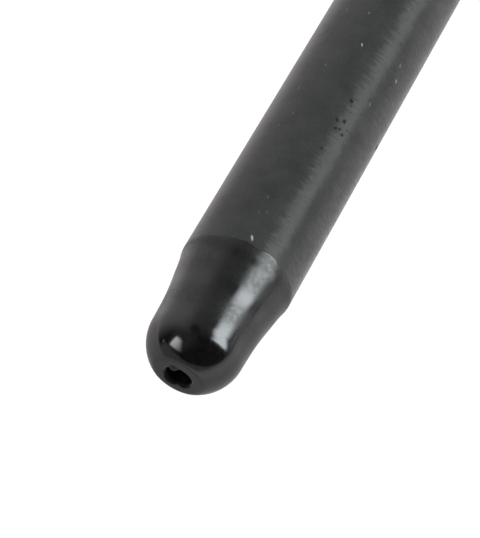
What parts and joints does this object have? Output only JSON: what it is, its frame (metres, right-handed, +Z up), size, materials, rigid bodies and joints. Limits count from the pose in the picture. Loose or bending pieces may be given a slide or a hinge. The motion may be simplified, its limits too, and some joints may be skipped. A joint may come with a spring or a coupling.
{
  "type": "engine pushrod",
  "caption": "Slim hollow steel engine pushrod: a straight black tube whose ends are swaged through a short cone to a ball, with an oil hole in its flat tip.",
  "frame": {"origin": "middle of the rod, on its axis", "axes": "+X along the rod from the lifter end, the end that the picture shows, to the rocker end; +Z up with the rod lying level"},
  "size_m": [0.2096, 0.0094, 0.0096],
  "materials": {
    "black_steel": "black oxide, matt on the tube and glossy on the swaged ends"
  },
  "bodies": {
    "root": {"pushrod": "black_steel"}
  },
  "joints": []
}
